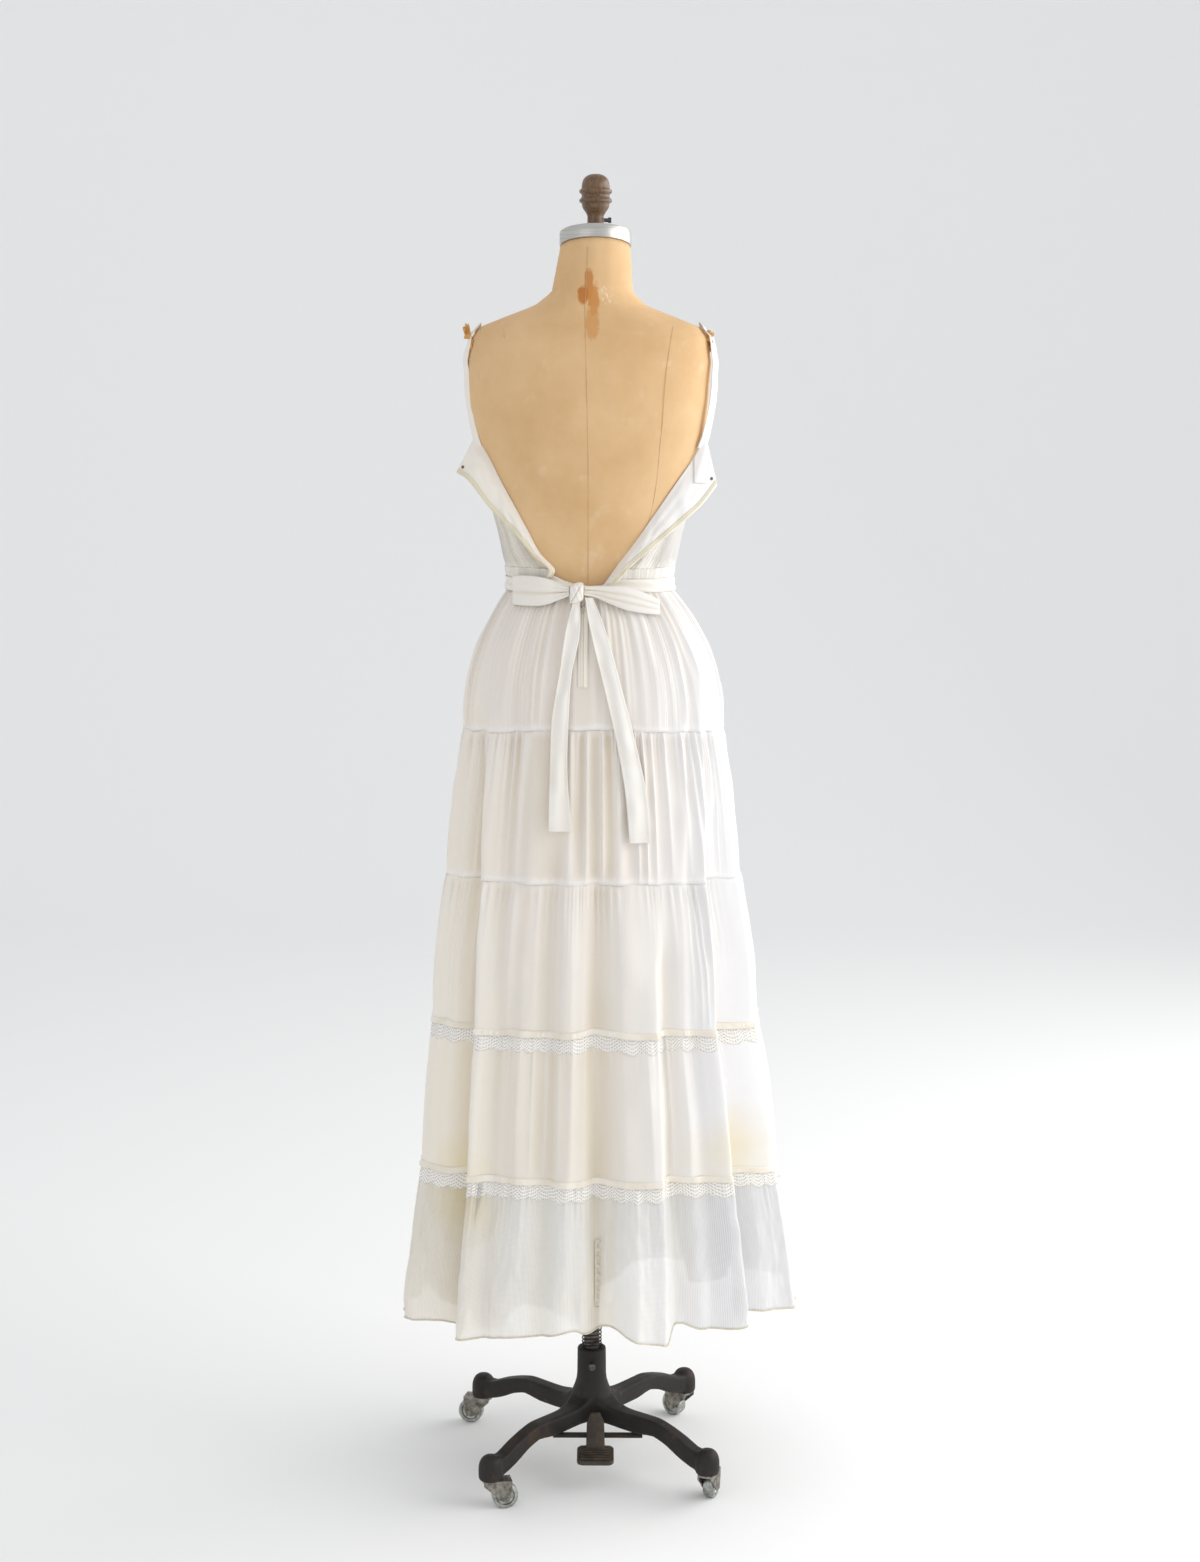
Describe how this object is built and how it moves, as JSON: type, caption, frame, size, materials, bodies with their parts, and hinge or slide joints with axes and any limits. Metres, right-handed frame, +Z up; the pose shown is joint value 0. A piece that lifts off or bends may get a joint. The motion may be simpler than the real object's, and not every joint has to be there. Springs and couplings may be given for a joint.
{
  "type": "maxi dress on a limbless dress form and stand",
  "caption": "Sleeveless tiered cotton maxi dress with an open back and sash bow, worn on a limbless cloth-covered dress form with a wheeled pedal stand.",
  "frame": {"origin": "middle of the bounding box, on the floor", "axes": "+Z up; the dress's back and the picture's view face -Y; +X is the picture's right, which is the dress's right side"},
  "size_m": [0.5828, 0.3776, 1.8546],
  "materials": {
    "gauze": "sheer off-white cotton gauze, slightly yellowed",
    "satin": "cream satin ribbon",
    "lace": "off-white cotton lace",
    "zip_tape": "yellowed woven zip tape",
    "nickel": "dull nickel",
    "form_cloth": "tan cloth over papier-mache",
    "aluminium": "brushed, dull",
    "wood": "turned, brown varnish, worn",
    "board": "plain fibre board",
    "steel": "worn",
    "cast_iron": "black paint, rusted",
    "wheel_steel": "worn, grey"
  },
  "bodies": {
    "base": {"stand_casting": "cast_iron", "set_screw": "steel", "post": "steel", "spring": "steel", "brace": "cast_iron"},
    "pedal": {"pedal": "cast_iron"},
    "pole": {"pole": "steel"},
    "pull_tab": {"zip_pull_tab": "nickel"},
    "fork_front_left": {"fork_front_left": "steel"},
    "wheel_front_left": {"wheel_front_left": "wheel_steel"},
    "fork_front_right": {"fork_front_right": "steel"},
    "wheel_front_right": {"wheel_front_right": "wheel_steel"},
    "fork_back_left": {"fork_back_left": "steel"},
    "wheel_back_left": {"wheel_back_left": "wheel_steel"},
    "fork_back_right": {"fork_back_right": "steel"},
    "wheel_back_right": {"wheel_back_right": "wheel_steel"},
    "form": {"back_flap_left": "gauze", "back_flap_right": "gauze", "bodice_back_left": "gauze", "bodice_back_right": "gauze", "bodice_front": "gauze", "bottom_board": "board", "bow_knot": "gauze", "bow_loop_left": "gauze", "bow_loop_right": "gauze", "bow_tail_left": "gauze", "bow_tail_right": "gauze", "finial": "wood", "hook_left": "nickel", "hook_right": "nickel", "lace_1": "lace", "lace_2": "lace", "lining": "gauze", "neck_ring": "aluminium", "picot_strip": "lace", "ribbon_1": "satin", "ribbon_2": "satin", "sash_left": "gauze", "sash_right": "gauze", "skirt_tier_1": "gauze", "skirt_tier_2": "gauze", "skirt_tier_3": "gauze", "skirt_tier_4": "gauze", "skirt_tier_5": "gauze", "strap_end_right": "gauze", "strap_left": "gauze", "strap_right": "gauze", "thumb_screw": "steel", "torso_form": "form_cloth", "waistband": "gauze", "zip_closed": "zip_tape", "zip_slider": "nickel", "zip_tape_left": "zip_tape", "zip_tape_right": "zip_tape"}
  },
  "joints": [
    {"name": "height_slide", "type": "slide", "parent": "base", "child": "pole", "axis": [0, 0, 1], "range_m": [-0.09, 0.25]},
    {"name": "form_swivel", "type": "hinge", "parent": "pole", "child": "form", "pos_m": [-0.01293, -0.0065, 1], "axis": [0, 0, 1], "continuous": true},
    {"name": "pull_tab_hinge", "type": "hinge", "parent": "form", "child": "pull_tab", "pos_m": [-0.02793, -0.09526, 1.2715], "axis": [1, 0, 0], "range_deg": [-70, 0]},
    {"name": "pedal_hinge", "type": "hinge", "parent": "base", "child": "pedal", "pos_m": [-0.00693, -0.0665, 0.0644], "axis": [1, 0, 0], "range_deg": [0, 12], "stiffness_Nm_per_rad": 0.6, "springref_deg": -17.19},
    {"name": "swivel_front_left", "type": "hinge", "parent": "base", "child": "fork_front_left", "pos_m": [-0.15434, -0.17149, 0.042], "axis": [0, 0, 1], "continuous": true},
    {"name": "spin_front_left", "type": "hinge", "parent": "fork_front_left", "child": "wheel_front_left", "pos_m": [-0.13478, -0.16734, 0.01814], "axis": [-0.2079, 0.9781, 0], "continuous": true},
    {"name": "swivel_front_right", "type": "hinge", "parent": "base", "child": "fork_front_right", "pos_m": [0.15206, -0.14792, 0.042], "axis": [0, 0, 1], "continuous": true},
    {"name": "spin_front_right", "type": "hinge", "parent": "fork_front_right", "child": "wheel_front_right", "pos_m": [0.1589, -0.12912, 0.01814], "axis": [-0.9397, 0.342, 0], "continuous": true},
    {"name": "swivel_back_left", "type": "hinge", "parent": "base", "child": "fork_back_left", "pos_m": [-0.17792, 0.13491, 0.042], "axis": [0, 0, 1], "continuous": true},
    {"name": "spin_back_left", "type": "hinge", "parent": "fork_back_left", "child": "wheel_back_left", "pos_m": [-0.19723, 0.14008, 0.01814], "axis": [-0.2588, -0.9659, 0], "continuous": true},
    {"name": "swivel_back_right", "type": "hinge", "parent": "base", "child": "fork_back_right", "pos_m": [0.12849, 0.15848, 0.042], "axis": [0, 0, 1], "continuous": true},
    {"name": "spin_back_right", "type": "hinge", "parent": "fork_back_right", "child": "wheel_back_right", "pos_m": [0.11362, 0.17187, 0.01814], "axis": [-0.6691, -0.7431, 0], "continuous": true}
  ]
}
